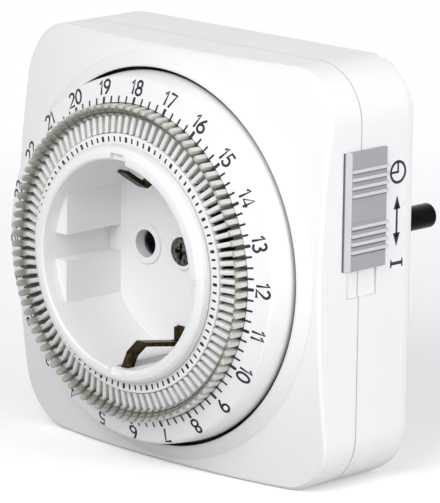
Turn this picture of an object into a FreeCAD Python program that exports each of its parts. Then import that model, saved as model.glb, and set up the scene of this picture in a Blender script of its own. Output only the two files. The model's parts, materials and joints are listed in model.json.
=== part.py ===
"""Plug-in timer switch: a 24-hour dial with 96 tappets round an earthed socket, and a plug behind.

Sizes are in millimetres. X is to the right, Y runs back from the dial to the plug, Z is up.
The pieces are drawn round the dial's axis, with Y counted from the front of the socket's rim.
At the end each is moved so that the origin lies under the middle of the housing's flat base.
"""
import FreeCAD
import Part
import math
import os

V = FreeCAD.Vector
CENTRE = V(0, 0, 0)
BACK = V(0, 1, 0)

# Housing; its half width follows from the dial and the plate, below
body_corner_r = 10.4
wall = 2.2
plate_wall_gap = 0.8
dome_r = 181.8
dome_y = 8.13
front_edge = 0.55
seam_y = 23.1
back_y = 38.7
back_edge_r = 3.0
lap_height = 1.5
lap_wall = 1.0
lap_gap = 0.12

# Opening round the dial and its raised collar
dial_gap = 0.7
collar_y = 10.6
collar_flat = 0.5
collar_width = 2.7
plate_seat_over = 0.7

# Screws that join the two shells
screw_inset = 6.3
screw_boss_r = 3.3
screw_boss_in = 7.5
screw_shank_r = 1.45
screw_core_r = 1.25
screw_head_r = 2.8
screw_head_h = 1.8
screw_recess = 6.0
screw_pilot_depth = 5.0

# Socket well
well_r = 19.6
tube_wall = 1.6
rim_lip = 1.05
rim_back_y = 2.15
rim_round = 1.5
floor_y = 17.5
floor_thick = 2.0
guide_depth = 3.1
guide_front_y = 3.4
guide_gap = 5.0
rim_step = 0.8
rim_step_y = 0.5
rim_notch_w = 3.4
rim_notch = 1.3
rim_notch_y = 0.9

# Pins and the holes for them
pin_x = 9.5
pin_r = 2.4
pin_length = 19.0
pin_tip_r = 1.1
pin_root = 9.0
pin_root_r = 2.0
pin_head_over = 0.6
pin_head_h = 1.0
hole_r = 2.65
hole_ring_r = 3.9
hole_ring_h = 0.35
sleeve_wall = 0.8
sleeve_length = 17.2
sleeve_gap = 0.05

# Centre screw
centre_head_r = 2.5
centre_head_h = 1.4
centre_recess_r = 2.75
centre_recess = 0.9
centre_boss_r = 3.4
centre_shank = 12.0

# Plug behind
plug_r = 18.7
plug_face_y = 57.3
plug_flat_x = 16.2
plug_rib_w = 4.2
plug_edge_r = 0.8
plug_bore_r = 16.2
plug_bore_flat_x = 14.0
plug_end_wall = 5.0

# Dial
dial_bore_gap = 0.1
dial_ring_width = 2.6
dial_ring_edge = 0.3
number_band = 4.6
dial_edge = 0.55
dial_shoulder_y = 5.85
dial_shoulder_round = 0.8
dial_ring_y = 2.4
dial_cone_in_y = 4.15
dial_back_y = 14.0
dial_skirt_y = 7.4
channel_width = 5.55
channel_floor_y = 6.9
web_back_y = 9.0
web_over = 1.45
hub_over = 0.2
skirt_wall = 1.0

# Tappets: four to the hour
tappets_per_hour = 4
hours = 24
tappet_in_gap = 0.12
tappet_out_gap = 0.1
tappet_width = 1.28
tappet_top_y = 1.4
tappet_ramp = 2.25
tappet_low_y = 3.3
tappet_inner_y = 2.55
tappet_steps = 3
tappet_step = 0.22
tappet_head = 1.3
tappet_blade = 0.8
tappet_slot_gap = 0.07
tappet_blade_in = 0.48
tappet_blade_out = 0.35
tappet_back_y = 9.4
tappet_travel = 2.2

# Teeth
ring_pitch_in = 2.9
ring_teeth = 96
dial_pinion_teeth = 8
clutch_module = 0.3
clutch_teeth = 48
gear_2_pinion_teeth = 6
gear_2_module = 0.3
gear_2_teeth = 50
gear_1_pinion_teeth = 8
gear_1_module = 0.4
gear_1_teeth = 36
motor_pinion_teeth = 6
tooth_top = 0.8
tooth_root = 1.25
gear_thick = 1.2
gear_gap = 0.6
gear_hub_r = 1.3
axle_r = 0.5
axle_gap = 0.05
arbor_r = 1.5
arbor_gap = 0.06

# Mechanism plate and bridge
plate_y = 14.2
plate_thick = 1.8
plate_over = 0.9
plate_bore_gap = 0.3
bridge_y = 22.2
bridge_thick = 1.2
bridge_motor_r = 6.5
bridge_web_half = 2.6
bridge_dowel_r = 0.8
pillar_r = 1.5
peg_r = 1.8
peg_inset = 1.2

# Motor
motor_r = 10.0
motor_wall_gap = 4.1
motor_depth = 12.4
motor_ear_out = 2.2
motor_ear_r = 2.3
motor_ear_thick = 1.0
motor_edge = 0.8
motor_screw_r = 1.0
motor_screw_head_r = 1.8
motor_screw_head_h = 1.0
motor_screw_bite = 3.6

# Switch lever and contacts
lever_blade_in = 1.8
lever_width = 2.0
lever_thick = 1.2
lever_pivot_y = 12.9
lever_pivot_z = -9.0
lever_barrel_r = 1.1
lever_nose_z = 4.5
lever_nose_y = 9.8
lever_end_z = 7.4
lever_tail_w = 1.4
lever_tail_y = 18.8
lever_swing = 8.3
leaf_swing = 6.8
lever_pin_r = 0.5
lug_thick = 1.0
leaf_front_y = 19.1
leaf_thick = 0.4
leaf_in = 1.2
leaf_width = 4.2
leaf_root_z = -11.0
leaf_tip_z = 10.0
contact_z = 8.2
contact_r = 1.4
contact_thick = 0.9
contact_gap = 2.6
fixed_leg_z = 5.2
fixed_strip_thick = 0.8

# Override slider
slider_y0 = 18.3
slider_y1 = 29.1
slider_bevel = 1.5
slider_z0 = 2.55
slider_z1 = 24.5
slider_proud = 1.2
slider_gap = 0.12
slider_travel = 5.3
ridge_places = (2.95, 4.45, 5.95, 7.45)
ridge_width = 0.6
ridge_height = 0.35
ridge_overhang = 0.35
groove_y0 = 19.9
groove_y1 = 27.6
groove_depth = 0.35
groove_top_in = 1.0
neck_y0 = 22.2
neck_y1 = 25.6
neck_z0 = 11.0
neck_z1 = 18.0
neck_gap = 0.2
carrier_thick = 0.9
carrier_over = 1.2

# Earth strips
earth_width = 2.4
earth_thick = 0.8
clip_foot_y = 3.1
clip_foot_out = 0.7
clip_knee_y = 4.6
clip_knee_in = 2.2
clip_crest_y = 6.9
clip_crest_in = 3.7
clip_heel_y = 15.7
clip_heel_in = 2.3
clip_tab_in = 5.4
earth_slot_w = 3.2
earth_rail_in = 1.1
earth_rail_over = 0.6
earth_rail_width = 3.6
strap_half = 4.6
strap_gap = 0.2

# Link behind the neutral sleeve
link_half = 1.5
link_thick = 0.8

# Leads
lead_r = 0.5
lead_turn_x = 14.0

# Sizes that follow from those above, from the socket well outwards
tube_r = well_r + tube_wall
rim_r = tube_r + rim_lip
rim_step_r = well_r + rim_step
rim_notch_r = well_r + rim_notch
guide_flat_x = well_r - guide_depth
dial_bore_r = tube_r + dial_bore_gap
dial_ring_r = dial_bore_r + dial_ring_width
channel_in_r = dial_ring_r + dial_ring_edge
channel_out_r = channel_in_r + channel_width
web_out_r = channel_out_r + web_over
hub_out_r = channel_in_r + hub_over
dial_shoulder_r = channel_out_r + number_band
dial_r = dial_shoulder_r + dial_edge
ring_module = 2 * (dial_r - ring_pitch_in) / ring_teeth
dial_opening_r = dial_r + dial_gap
collar_r = dial_opening_r + collar_width
plate_bore_r = tube_r + plate_bore_gap
plate_r = dial_opening_r + plate_over
plate_seat_r = plate_r + plate_seat_over
peg_place_r = plate_r - peg_inset
body_half = plate_r + plate_wall_gap + wall
screw_place = body_half - screw_inset
tappet_in_r = channel_in_r + tappet_in_gap
tappet_out_r = channel_out_r - tappet_out_gap
tappet_ramp_r = tappet_out_r - tappet_ramp
tappet_blade_in_r = tappet_in_r + tappet_blade_in
tappet_blade_out_r = tappet_out_r - tappet_blade_out
lever_x = tappet_blade_in_r + lever_blade_in
leaf_left_x = lever_x - leaf_in
leaf_right_x = leaf_left_x + leaf_width
motor_ear_reach = motor_r + motor_ear_out
motor_x = -(body_half - wall - motor_wall_gap - motor_r)
motor_z = -motor_x
clip_foot_z = well_r + clip_foot_out
clip_knee_z = well_r - clip_knee_in
clip_crest_z = well_r - clip_crest_in
clip_heel_z = well_r - clip_heel_in
clip_tab_z = well_r - clip_tab_in
earth_rail_z = plug_r - earth_rail_in
earth_rail_out = earth_rail_z + earth_rail_over

ORIGIN = V(-slider_proud / 2, -(plug_face_y + pin_length) / 2, body_half)

tube_back_y = floor_y + floor_thick
plate_back_y = plate_y + plate_thick
inner_half = body_half - wall
inner_corner_r = body_corner_r - wall
inner_back_y = back_y - wall
clutch_y = plate_back_y + gear_gap
gear_2_y = clutch_y + gear_thick + gear_gap
gear_1_y = gear_2_y + gear_thick + gear_gap
motor_y = bridge_y + bridge_thick
sleeve_y = tube_back_y + 0.2
pitch_angle = 360.0 / (hours * tappets_per_hour)


def save(name, *pieces):
    """Move the pieces to the housing's own origin and write them as one part."""
    shape = pieces[0] if len(pieces) == 1 else Part.makeCompound(list(pieces))
    shape = shape.copy()
    shape.translate(ORIGIN)
    shape.exportStep("parts/" + name + ".step")


def box(x0, x1, y0, y1, z0, z1):
    return Part.makeBox(x1 - x0, y1 - y0, z1 - z0, V(x0, y0, z0))


def rod(radius, y0, y1, x=0.0, z=0.0):
    return Part.makeCylinder(radius, y1 - y0, V(x, y0, z), BACK)


def turn(shape, angle):
    """Turn a copy about the dial's axis, anticlockwise as seen from the front."""
    copy = shape.copy()
    copy.rotate(CENTRE, V(0, -1, 0), angle)
    return copy


def rounding(start, corner, end, flats=3):
    """Corners of a quarter round from start to end, in that many flats."""
    points = []
    for i in range(flats + 1):
        a = math.radians(90.0 * i / flats)
        points.append((corner[0] + (start[0] - corner[0]) * (1 - math.sin(a)) + (end[0] - corner[0]) * (1 - math.cos(a)),
                       corner[1] + (start[1] - corner[1]) * (1 - math.sin(a)) + (end[1] - corner[1]) * (1 - math.cos(a))))
    return points


def revolve(points):
    """Solid of revolution about the dial's axis from (radius, y) corners.

    A corner may be a pair of points, which is an arc's middle and its end.
    """
    edges = []
    last = V(points[0][0], points[0][1], 0)
    for corner in points[1:] + points[:1]:
        if isinstance(corner[0], tuple):
            middle, end = corner
            target = V(end[0], end[1], 0)
            edges.append(Part.Arc(last, V(middle[0], middle[1], 0), target).toShape())
        else:
            target = V(corner[0], corner[1], 0)
            edges.append(Part.makeLine(last, target))
        last = target
    return Part.Face(Part.Wire(edges)).revolve(CENTRE, BACK, 360)


def prism(points, direction):
    """Straight solid from a closed outline of 3-D corners."""
    return Part.Face(Part.makePolygon(points + points[:1])).extrude(direction)


def plate_from(outline, y0, y1):
    """Flat piece from an outline of (x, z) corners."""
    return prism([V(x, y0, z) for x, z in outline], V(0, y1 - y0, 0))


def ribbon(path, thick):
    """Outline of a bent strip that has the path down its middle."""
    left, right = [], []
    for i, (a, b) in enumerate(path):
        before = path[max(i - 1, 0)]
        after = path[min(i + 1, len(path) - 1)]
        start = before if i else (a, b)
        end = after if i < len(path) - 1 else (a, b)
        steps = []
        for p, q in (((start[0], start[1]), (a, b)), ((a, b), (end[0], end[1]))):
            length = math.hypot(q[0] - p[0], q[1] - p[1])
            if length > 0:
                steps.append(((q[0] - p[0]) / length, (q[1] - p[1]) / length))
        first, last = steps[0], steps[-1]
        nx, ny = -(first[1] + last[1]), first[0] + last[0]
        size = nx * -first[1] + ny * first[0]
        nx, ny = nx / size * thick / 2, ny / size * thick / 2
        left.append((a + nx, b + ny))
        right.append((a - nx, b - ny))
    return left + right[::-1]


def strip_in_yz(path, thick, x0, x1):
    """Bent strip whose path is (y, z) corners, as wide as x0 to x1."""
    return prism([V(x0, y, z) for y, z in ribbon(path, thick)], V(x1 - x0, 0, 0))


def rounded_block(half, corner, y0, y1):
    block = box(-half, half, y0, y1, -half, half)
    uprights = [e for e in block.Edges if abs(e.tangentAt(e.FirstParameter).y) > 0.9]
    return block.makeFillet(corner, uprights)


def meet(a, a_reach, b, b_reach, side):
    """Place that is a_reach from a and b_reach from b, on the given side of the line a to b."""
    dx, dz = b[0] - a[0], b[1] - a[1]
    span = math.hypot(dx, dz)
    along = (a_reach ** 2 - b_reach ** 2 + span ** 2) / (2 * span)
    off = side * math.sqrt(a_reach ** 2 - along ** 2)
    return (a[0] + (dx * along - dz * off) / span, a[1] + (dz * along + dx * off) / span)


def toothed(teeth, module, y0, y1, x, z, phase=0.0, inward=False):
    """Gear with pointed teeth; an inward one is the space inside a ring of teeth."""
    pitch_r = teeth * module / 2
    tip_r = pitch_r + tooth_top * module
    root_r = pitch_r - tooth_root * module
    if inward:
        tip_r, root_r = pitch_r + tooth_root * module, pitch_r - tooth_top * module
    outline = []
    for i in range(teeth):
        for radius, share in ((tip_r, 0.0), (root_r, 0.5)):
            angle = math.radians(phase + 360.0 * (i + share) / teeth)
            outline.append((x + radius * math.cos(angle), z + radius * math.sin(angle)))
    return plate_from(outline, y0, y1)


# Places of the gear train, as (x, z): each pair stands as far apart as its teeth need
dial_pinion_reach = ring_module * (ring_teeth - dial_pinion_teeth) / 2
clutch_reach = clutch_module * (clutch_teeth + gear_2_pinion_teeth) / 2
gear_2_reach = gear_2_module * (gear_2_teeth + gear_1_pinion_teeth) / 2
gear_1_reach = gear_1_module * (gear_1_teeth + motor_pinion_teeth) / 2
gear_1_bearing = 231.8
gear_2_bearing = 265.4
motor_at = (motor_x, motor_z)
gear_1_at = (motor_x + gear_1_reach * math.cos(math.radians(gear_1_bearing)),
             motor_z + gear_1_reach * math.sin(math.radians(gear_1_bearing)))
gear_2_at = (gear_1_at[0] + gear_2_reach * math.cos(math.radians(gear_2_bearing)),
             gear_1_at[1] + gear_2_reach * math.sin(math.radians(gear_2_bearing)))
clutch_at = meet((0, 0), dial_pinion_reach, gear_2_at, clutch_reach, 1)
motor_ears = [(motor_x + motor_ear_reach * math.cos(math.radians(a)),
               motor_z + motor_ear_reach * math.sin(math.radians(a))) for a in (45, 225)]
pillar_from_clutch = ((5.25, -8.4), (-3.0, -11.0))
bridge_pillars = [motor_ears[0]] + [(clutch_at[0] + dx, clutch_at[1] + dz) for dx, dz in pillar_from_clutch]
peg_places = [(peg_place_r * math.cos(math.radians(a)), peg_place_r * math.sin(math.radians(a)))
              for a in (45, 90, 225, 270, 315)]
shell_screws = [(sx * screw_place, sz * screw_place) for sx in (-1, 1) for sz in (-1, 1)]


def bearing_of(a, b):
    """Angle of the line from a to b, seen from the front."""
    return math.degrees(math.atan2(b[1] - a[1], b[0] - a[0]))


def phase_to_mesh(teeth, at, mate_teeth, mate_phase, mate_at):
    """Turn of an outside gear that puts a gap where its mate has a tooth."""
    mate_dir = bearing_of(mate_at, at)
    mate_step = 360.0 / mate_teeth
    offset = ((mate_dir - mate_phase) / mate_step) % 1.0
    step = 360.0 / teeth
    return bearing_of(at, mate_at) + (0.5 + offset) * step


def front_shell():
    ball = Part.makeSphere(dome_r, V(0, dome_y + dome_r, 0))
    inner_ball = Part.makeSphere(dome_r - wall, V(0, dome_y + dome_r, 0))
    body = rounded_block(body_half, body_corner_r, dome_y - 1, seam_y).common(ball)
    front_edges = [e for e in body.Edges
                   if e.BoundBox.YMax < seam_y - 1 and e.BoundBox.YLength < 5]
    body = body.makeChamfer(front_edge, front_edges)
    body = body.cut(rounded_block(inner_half, inner_corner_r, dome_y - 1, seam_y + 1).common(inner_ball))
    collar = revolve([(dial_opening_r - 1, collar_y), (dial_opening_r + collar_flat, collar_y),
                      (collar_r, dome_y + (collar_r ** 2) / (2 * dome_r)),
                      (plate_seat_r, plate_y), (dial_opening_r - 1, plate_y)])
    body = body.fuse(collar)
    for x, z in shell_screws:
        body = body.fuse(rod(screw_boss_r, dome_y + screw_boss_in, seam_y, x, z).common(inner_ball))
        body = body.cut(rod(screw_core_r, seam_y - screw_pilot_depth, seam_y + 1, x, z))
    body = body.cut(rod(dial_opening_r, 0, plate_y + 1))
    return body.cut(slider_cutter()).removeSplitter()


def slider_cutter():
    """The shallow groove that the slider runs over, and the slot for its neck."""
    groove = box(body_half - groove_depth, body_half + 1, groove_y0, groove_y1,
                 slider_z0 - slider_travel, slider_z1 - groove_top_in)
    slot = box(inner_half - 2, body_half, neck_y0 - neck_gap, neck_y1 + neck_gap,
               neck_z0 - slider_travel - neck_gap, neck_z1 + neck_gap)
    return groove.fuse(slot)


def rounded_back():
    """The rear shell's rounded edge, as flats between rounded squares."""
    wires = []
    for half, y in rounding((body_half, back_y - back_edge_r), (body_half, back_y),
                            (body_half - back_edge_r, back_y), 4):
        square = rounded_block(half, body_corner_r - (body_half - half), y, y + 1)
        front = [f for f in square.Faces if f.BoundBox.YMax < y + 0.01]
        wires.append(front[0].OuterWire)
    return Part.makeLoft(wires, True, True)


def rear_shell():
    body = rounded_block(body_half, body_corner_r, seam_y, back_y - back_edge_r)
    body = body.fuse(rounded_back())
    plug = rod(plug_r, back_y - 1, plug_face_y)
    rim_edge = [e for e in plug.Edges if e.BoundBox.YMin > plug_face_y - 0.01]
    plug = plug.makeChamfer(plug_edge_r, rim_edge)
    for side in (-1, 1):
        for z0, z1 in ((plug_rib_w / 2, plug_r), (-plug_r, -plug_rib_w / 2)):
            xs = sorted((side * plug_flat_x, side * (plug_r + 1)))
            plug = plug.cut(box(xs[0], xs[1], back_y, plug_face_y + 1, z0, z1))
    body = body.fuse(plug)
    body = body.cut(rounded_block(inner_half, inner_corner_r, seam_y - 1, inner_back_y))
    bore = rod(plug_bore_r, inner_back_y - 1, plug_face_y - plug_end_wall)
    body = body.cut(bore.common(box(-plug_bore_flat_x, plug_bore_flat_x, 0, plug_face_y,
                                    -plug_r, plug_r)))
    lap_half = inner_half - lap_gap
    lap = rounded_block(lap_half, inner_corner_r - lap_gap, seam_y - lap_height, seam_y + lap_height)
    lap = lap.cut(rounded_block(lap_half - lap_wall, inner_corner_r - lap_gap - lap_wall,
                                seam_y - 5, seam_y + 5))
    root = rounded_block(inner_half + 0.1, inner_corner_r + 0.1, seam_y, seam_y + lap_height)
    root = root.cut(rounded_block(lap_half - lap_wall, inner_corner_r - lap_gap - lap_wall,
                                  seam_y - 5, seam_y + 5))
    body = body.fuse(lap).fuse(root)
    body = body.cut(box(lap_half - lap_wall - 1, inner_half + 0.01, seam_y - lap_height - 1,
                        slider_y1 + 1, slider_z0 - slider_travel - 2, slider_z1 + 2))
    for x, z in shell_screws:
        body = body.fuse(rod(screw_boss_r, seam_y, inner_back_y + 0.5, x, z))
        body = body.cut(rod(screw_boss_r + 0.25, seam_y - lap_height - 1, seam_y, x, z))
        body = body.cut(rod(screw_shank_r + 0.25, seam_y - 1, back_y + 1, x, z))
        body = body.cut(rod(screw_head_r + 0.3, back_y - screw_recess, back_y + 1, x, z))
    for x, z in peg_places:
        body = body.fuse(rod(peg_r, plate_back_y, inner_back_y + 0.5, x, z))
    centre = rod(centre_boss_r, tube_back_y, plug_face_y - plug_end_wall + 0.5)
    centre = centre.cut(rod(screw_core_r, tube_back_y - 1, tube_back_y + centre_shank))
    body = body.fuse(centre)
    for side in (-1, 1):
        body = body.cut(rod(pin_root_r, plug_face_y - plug_end_wall - 1, plug_face_y + 1, side * pin_x))
        z0, z1 = sorted((side * (earth_rail_z - earth_thick), side * earth_rail_out))
        body = body.cut(box(-earth_rail_width / 2, earth_rail_width / 2, inner_back_y - 0.5,
                            plug_face_y - 2.0, z0, z1))
        z0, z1 = sorted((side * (earth_rail_z - earth_thick), side * (plug_r + 1)))
        body = body.cut(box(-earth_rail_width / 2, earth_rail_width / 2, back_y,
                            plug_face_y - 2.0, z0, z1))
    return body.cut(slider_cutter()).removeSplitter()


def socket_well():
    body = revolve([(0, floor_y), (well_r, floor_y), (well_r, 0.35), (well_r + 0.35, 0),
                    *rounding((rim_r - rim_round, 0), (rim_r, 0), (rim_r, rim_round)),
                    (rim_r, rim_back_y), (tube_r, rim_back_y), (tube_r, tube_back_y),
                    (0, tube_back_y)])
    guides = rod(well_r + 0.5, guide_front_y, floor_y + 0.5)
    guides = guides.cut(box(-guide_flat_x, guide_flat_x, 0, floor_y + 1, -well_r - 1, well_r + 1))
    guides = guides.cut(box(-well_r - 1, well_r + 1, 0, floor_y + 1, -guide_gap / 2, guide_gap / 2))
    body = body.fuse(guides)
    step = rod(rim_step_r, -1, rim_step_y).cut(rod(well_r - 1, -2, 2))
    step = step.common(box(0, rim_r, -2, 2, -rim_r, 0))
    body = body.cut(step)
    for side in (-1, 1):
        body = body.fuse(rod(hole_ring_r, floor_y - hole_ring_h, floor_y + 0.5, side * pin_x))
        body = body.cut(rod(hole_r, 0, tube_back_y + 1, side * pin_x))
        z0, z1 = sorted((side * (well_r - 1), side * rim_notch_r))
        body = body.cut(box(-rim_notch_w / 2, rim_notch_w / 2, -1, rim_notch_y, z0, z1))
        z0, z1 = sorted((side * (well_r - 1), side * (clip_foot_z + 0.5)))
        body = body.cut(box(-earth_slot_w / 2, earth_slot_w / 2, clip_foot_y - 1.2, floor_y, z0, z1))
        z0, z1 = sorted((side * (clip_tab_z + 0.1), side * (clip_tab_z + 1.3)))
        body = body.cut(box(-earth_width / 2 - 0.1, earth_width / 2 + 0.1, floor_y - 1,
                            tube_back_y + 1, z0, z1))
    body = body.fuse(rod(centre_recess_r + 0.7, floor_y - hole_ring_h, floor_y + 0.5))
    body = body.cut(rod(centre_recess_r, 0, floor_y + centre_recess))
    body = body.cut(rod(screw_shank_r + 0.2, floor_y, tube_back_y + 1))
    return body.removeSplitter()


def cross_recess(y, depth, reach, x=0.0, z=0.0):
    arm = box(x - reach, x + reach, y - 0.5, y + depth, z - 0.35, z + 0.35)
    return arm.fuse(box(x - 0.35, x + 0.35, y - 0.5, y + depth, z - reach, z + reach))


def centre_screw():
    seat = floor_y + centre_recess
    body = rod(centre_head_r, seat - centre_head_h, seat)
    body = body.fuse(rod(screw_core_r, seat - 0.5, tube_back_y + centre_shank - 0.5))
    return body.cut(cross_recess(seat - centre_head_h, 0.9, 1.6))


def housing_screw(x, z):
    seat = back_y - screw_recess
    body = rod(screw_head_r, seat, seat + screw_head_h, x, z)
    body = body.fuse(rod(screw_core_r, seam_y - screw_pilot_depth + 0.5, seat + 0.5, x, z))
    top = seat + screw_head_h
    slot = cross_recess(top - 1.0, 2.0, 1.7, x, z)
    return body.cut(slot)


def dial():
    bore_r = dial_bore_r
    bend = dial_shoulder_round
    body = revolve([(bore_r, dial_ring_y), (dial_ring_r, dial_ring_y),
                    (channel_in_r, dial_ring_y + 0.1), (channel_in_r, channel_floor_y),
                    (channel_out_r, channel_floor_y), (channel_out_r, dial_cone_in_y),
                    (dial_shoulder_r - bend * 0.6, dial_shoulder_y - bend * 0.35),
                    (dial_shoulder_r - 0.08, dial_shoulder_y + 0.05),
                    (dial_shoulder_r + 0.12, dial_shoulder_y + bend * 0.9),
                    (dial_r, plate_y - 3.2), (dial_r, dial_back_y),
                    (dial_r - skirt_wall, dial_back_y), (dial_r - skirt_wall, dial_skirt_y),
                    (web_out_r, dial_skirt_y - 0.8), (web_out_r, web_back_y),
                    (hub_out_r, web_back_y), (hub_out_r, dial_back_y), (bore_r, dial_back_y)])
    teeth_y = dial_back_y - 1.8
    ring = rod(dial_r - 0.5, teeth_y, dial_back_y)
    ring = ring.cut(toothed(ring_teeth, ring_module, teeth_y - 1, dial_back_y + 1, 0, 0, 0, True))
    body = body.fuse(ring)
    half = tappet_blade / 2 + tappet_slot_gap
    slot = box(tappet_blade_in_r - 0.15, tappet_blade_out_r + 0.15, channel_floor_y - 1,
               web_back_y + 1, -half, half)
    slots = [turn(slot, (i + 0.5) * pitch_angle) for i in range(hours * tappets_per_hour)]
    return body.cut(Part.makeCompound(slots))


def tappet():
    """One finger: a bar that lies in the dial's channel, with a serrated grip at its outer end."""
    outline = [(tappet_in_r, tappet_inner_y), (tappet_ramp_r, tappet_low_y)]
    run = (tappet_out_r - tappet_ramp_r) / (tappet_steps + 0.5)
    rise = (tappet_low_y - tappet_top_y) / tappet_steps
    for i in range(tappet_steps):
        outline.append((tappet_ramp_r + run * (i + 0.9), tappet_low_y - rise * (i + 1)))
        if i < tappet_steps - 1:
            outline.append((tappet_ramp_r + run * (i + 1.0), tappet_low_y - rise * (i + 1) + tappet_step))
    outline.append((tappet_out_r, tappet_top_y))
    outline.append((tappet_out_r, channel_floor_y - tappet_travel - 0.1))
    outline.append((tappet_in_r, tappet_inner_y + tappet_head))
    half = tappet_width / 2
    head = prism([V(r, y, -half) for r, y in outline], V(0, 0, tappet_width))
    blade = box(tappet_blade_in_r, tappet_blade_out_r, tappet_low_y + 0.4, tappet_back_y,
                -tappet_blade / 2, tappet_blade / 2)
    return head.fuse(blade).removeSplitter()


def tappet_group(hour):
    """The four tappets of the hour that starts at the given figure."""
    first = 180.0 + 360.0 / hours * hour
    finger = tappet()
    return [turn(finger, first + pitch_angle * (k + 0.5)) for k in range(tappets_per_hour)]


def mechanism_plate():
    body = rod(plate_r, plate_y, plate_back_y)
    body = body.cut(rod(plate_bore_r, plate_y - 1, plate_back_y + 1))
    for x, z in bridge_pillars:
        body = body.fuse(rod(pillar_r, plate_back_y - 0.5, bridge_y, x, z))
    x, z = motor_ears[0]
    body = body.cut(rod(motor_screw_r, bridge_y - 4, bridge_y + 1, x, z))
    for x, z in (gear_1_at, gear_2_at):
        body = body.fuse(rod(pillar_r, plate_back_y - 0.5, clutch_y - 0.2, x, z))
        body = body.cut(rod(axle_r, plate_y - 1, plate_back_y + 2, x, z))
    body = body.cut(rod(arbor_r + arbor_gap, plate_y - 1, plate_back_y + 1, *clutch_at))
    half = lever_width / 2 + 0.5
    body = body.cut(box(lever_x - half, lever_x + half, plate_y - 1, plate_back_y + 1,
                        lever_pivot_z + 1.6, lever_end_z + 1.2))
    for x0, x1 in lug_spans():
        lug = box(x0, x1, lever_pivot_y - 0.95, plate_y + 0.5, lever_pivot_z - 1.1, lever_pivot_z + 1.1)
        body = body.fuse(lug)
        body = body.cut(Part.makeCylinder(lever_pin_r, x1 - x0 + 2, V(x0 - 1, lever_pivot_y, lever_pivot_z),
                                          V(1, 0, 0)))
    return body.removeSplitter()


def lug_spans():
    """Where the lever's two lugs stand along X."""
    half = lever_width / 2 + 0.45
    return [(lever_x - half - lug_thick, lever_x - half), (lever_x + half, lever_x + half + lug_thick)]


def web(a, b, half, y0, y1):
    """Straight bar between two places, with round ends."""
    dx, dz = b[0] - a[0], b[1] - a[1]
    share = half / math.hypot(dx, dz)
    nx, nz = -dz * share, dx * share
    bar = plate_from([(a[0] + nx, a[1] + nz), (a[0] - nx, a[1] - nz),
                      (b[0] - nx, b[1] - nz), (b[0] + nx, b[1] + nz)], y0, y1)
    return bar.fuse(rod(half, y0, y1, *a)).fuse(rod(half, y0, y1, *b))


def gear_bridge():
    y0, y1 = bridge_y, bridge_y + bridge_thick
    body = rod(bridge_motor_r, y0, y1, *motor_at)
    spine = [bridge_pillars[0], motor_at, motor_ears[1], gear_1_at, gear_2_at]
    for a, b in list(zip(spine, spine[1:])) + [(gear_2_at, p) for p in bridge_pillars[1:]]:
        body = body.fuse(web(a, b, bridge_web_half, y0, y1))
    body = body.cut(rod(gear_1_module * motor_pinion_teeth / 2 + 1.2, y0 - 1, y1 + 1, *motor_at))
    for x, z in (gear_1_at, gear_2_at):
        body = body.cut(rod(axle_r, y0 - 1, y1 + 1, x, z))
    for x, z in motor_ears:
        body = body.cut(rod(motor_screw_r, y0 - 1, y1 + 1, x, z))
    for x, z in bridge_pillars[1:]:
        body = body.cut(rod(bridge_dowel_r, y0 - 1, y1 + 1, x, z))
    return body.removeSplitter()


def gear_axles():
    return [rod(axle_r, plate_y, bridge_y + bridge_thick, x, z) for x, z in (gear_1_at, gear_2_at)]


motor_phase = 0.0
gear_1_phase = phase_to_mesh(gear_1_teeth, gear_1_at, motor_pinion_teeth, motor_phase, motor_at)
gear_2_phase = phase_to_mesh(gear_2_teeth, gear_2_at, gear_1_pinion_teeth, 0.0, gear_1_at)
clutch_phase = phase_to_mesh(clutch_teeth, clutch_at, gear_2_pinion_teeth, 0.0, gear_2_at)


def motor_pinion():
    body = toothed(motor_pinion_teeth, gear_1_module, gear_1_y - 0.2, gear_1_y + gear_thick + 0.4,
                   *motor_at, motor_phase)
    return body.fuse(rod(axle_r, gear_1_y, motor_y + 1.6, *motor_at))


def gear_1():
    x, z = gear_1_at
    body = toothed(gear_1_teeth, gear_1_module, gear_1_y, gear_1_y + gear_thick, x, z, gear_1_phase)
    body = body.fuse(toothed(gear_1_pinion_teeth, gear_2_module, gear_2_y - 0.2, gear_1_y, x, z, 0.0))
    body = body.fuse(rod(axle_r + 0.35, clutch_y, gear_2_y, x, z))
    body = body.fuse(rod(gear_hub_r, gear_1_y + gear_thick, bridge_y - 0.1, x, z))
    return body.cut(rod(axle_r + axle_gap, plate_y, bridge_y + 1, x, z))


def gear_2():
    x, z = gear_2_at
    body = toothed(gear_2_teeth, gear_2_module, gear_2_y, gear_2_y + gear_thick, x, z, gear_2_phase)
    body = body.fuse(toothed(gear_2_pinion_teeth, clutch_module, clutch_y - 0.1, gear_2_y, x, z, 0.0))
    body = body.fuse(rod(axle_r + 0.4, gear_2_y + gear_thick, bridge_y - 0.1, x, z))
    return body.cut(rod(axle_r + axle_gap, plate_y, bridge_y + 1, x, z))


def clutch_wheel():
    x, z = clutch_at
    body = toothed(clutch_teeth, clutch_module, clutch_y, clutch_y + gear_thick, x, z, clutch_phase)
    return body.cut(rod(arbor_r + axle_gap, clutch_y - 1, clutch_y + gear_thick + 1, x, z))


def dial_pinion():
    x, z = clutch_at
    phase = bearing_of((0, 0), clutch_at)
    ring_step = 360.0 / ring_teeth
    offset = (phase / ring_step) % 1.0
    phase -= offset * 360.0 / dial_pinion_teeth
    body = toothed(dial_pinion_teeth, ring_module, dial_back_y - 1.7, dial_back_y - 0.1, x, z, phase)
    body = body.fuse(rod(arbor_r, dial_back_y - 0.5, clutch_y + gear_thick + 0.5, x, z))
    return body


def clutch_spring():
    x, z = clutch_at
    y0 = clutch_y + gear_thick + 0.1
    return rod(3.2, y0, y0 + 0.3, x, z).cut(rod(arbor_r, y0 - 1, y0 + 1, x, z))


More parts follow.
